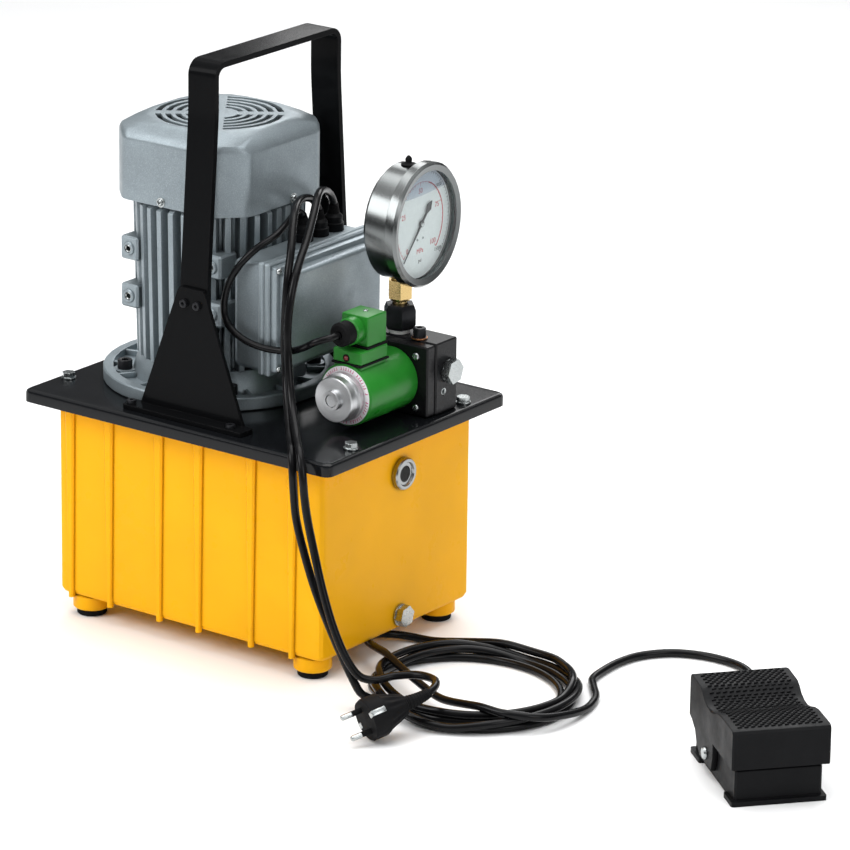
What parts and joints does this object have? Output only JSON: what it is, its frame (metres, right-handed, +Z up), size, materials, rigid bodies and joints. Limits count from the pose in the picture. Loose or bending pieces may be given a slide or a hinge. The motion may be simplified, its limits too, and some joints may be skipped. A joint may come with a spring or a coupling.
{
  "type": "hydraulic power unit",
  "caption": "Portable electric hydraulic power unit: oil tank with vertical motor, carrying handle, solenoid valve block, pressure gauge, mains lead and foot pedal on a long lead.",
  "frame": {"origin": "floor level, at the middle of the box round the unit and its pedal, leads left out", "axes": "+Z up, +X along the tank's long side from the motor end to the sight-glass end and on to the pedal, +Y across the tank, away from the side that the carrying handle's open face and the leads hang over"},
  "size_m": [0.7862, 0.3565, 0.5165],
  "materials": {
    "yellow_paint": "glossy yellow enamel on steel sheet",
    "black_gloss": "gloss black enamel",
    "rubber": "matt black rubber",
    "zinc": "bright zinc plate",
    "silver_casting": "silver-grey paint on cast aluminium",
    "copper": "varnished copper winding",
    "iron": "machined steel",
    "green_plastic": "satin green moulding",
    "alloy": "turned aluminium",
    "stainless": "brushed stainless steel",
    "brass": "machined brass",
    "white_dial": "white dial enamel",
    "glass": "clear",
    "black_steel": "black oxide steel",
    "black_block": "satin black anodised",
    "cable": "smooth black cable jacket",
    "black_plastic": "finely grained black plastic",
    "red_plastic": "red moulding"
  },
  "bodies": {
    "power_unit": {"cable_gland_1": "black_plastic", "cable_gland_2": "black_plastic", "cable_gland_3": "black_plastic", "connector_base": "green_plastic", "connector_gland": "black_plastic", "connector_housing": "green_plastic", "drain_plug": "zinc", "fan_cover": "silver_casting", "gauge_case": "stainless", "gauge_dial": "white_dial", "gauge_lens": "glass", "gauge_stem": "brass", "handle_bracket_back": "black_gloss", "handle_bracket_front": "black_gloss", "handle_strap": "black_gloss", "mains_cord": "cable", "mains_plug": "black_plastic", "motor_flange": "silver_casting", "motor_frame": "silver_casting", "pedal_base": "black_plastic", "pedal_cord_coil": "cable", "pedal_cord_drop": "cable", "pedal_cord_lead": "cable", "pedal_pivot_pin": "zinc", "pedal_switch": "black_plastic", "plate_bolt_1": "zinc", "plate_bolt_2": "zinc", "plate_bolt_3": "zinc", "plate_bolt_4": "zinc", "plate_gasket": "rubber", "port_plug": "zinc", "pressure_pipe": "iron", "pump_body": "iron", "reservoir_tank": "yellow_paint", "rubber_foot_1": "rubber", "rubber_foot_2": "rubber", "rubber_foot_3": "rubber", "rubber_foot_4": "rubber", "sight_glass": "glass", "sight_glass_ring": "alloy", "socket_plug": "black_steel", "solenoid_coil": "green_plastic", "solenoid_end_nut": "alloy", "solenoid_lead": "cable", "solenoid_tube": "iron", "stator_winding": "copper", "suction_strainer": "brass", "swivel_nut": "black_steel", "terminal_box": "silver_casting", "terminal_box_lid": "silver_casting", "top_plate": "black_gloss", "valve_block": "black_block", "valve_flange": "black_block"},
    "rotor": {"rotor_shaft": "iron", "cooling_fan": "black_plastic"},
    "override_pin": {"override_pin": "alloy"},
    "plunger": {"plunger_spool": "iron"},
    "gauge_needle": {"gauge_needle": "black_steel"},
    "pedal_treadle": {"pedal_treadle": "black_plastic"},
    "switch_plunger": {"switch_plunger": "red_plastic"}
  },
  "joints": [
    {"name": "rotor_spin", "type": "hinge", "parent": "power_unit", "child": "rotor", "pos_m": [-0.28211, 0.0068, 0.3], "axis": [0, 0, 1], "continuous": true},
    {"name": "gauge_needle_turn", "type": "hinge", "parent": "power_unit", "child": "gauge_needle", "pos_m": [-0.11461, 0.044, 0.3704], "axis": [-0.9969, -0.0785, 0], "range_deg": [0, 270], "stiffness_Nm_per_rad": 0.0006},
    {"name": "pedal_press", "type": "hinge", "parent": "power_unit", "child": "pedal_treadle", "pos_m": [0.30945, -0.03709, 0.018], "axis": [0.6514, 0.7587, 0], "range_deg": [0, 6], "stiffness_Nm_per_rad": 12, "springref_deg": -3.44},
    {"name": "switch_plunger_travel", "type": "slide", "parent": "power_unit", "child": "switch_plunger", "axis": [0, 0, -1], "range_m": [0, 0.0031]},
    {"name": "override_pin_press", "type": "slide", "parent": "power_unit", "child": "override_pin", "axis": [0, 1, 0], "range_m": [0, 0.003], "stiffness_N_per_m": 600},
    {"name": "plunger_travel", "type": "slide", "parent": "power_unit", "child": "plunger", "axis": [0, 1, 0], "range_m": [0, 0.003]}
  ],
  "couplings": [
    {"joint": "plunger_travel", "follows": "override_pin_press", "ratio": 1},
    {"joint": "switch_plunger_travel", "follows": "pedal_press", "m_per_rad": 0.0285}
  ]
}
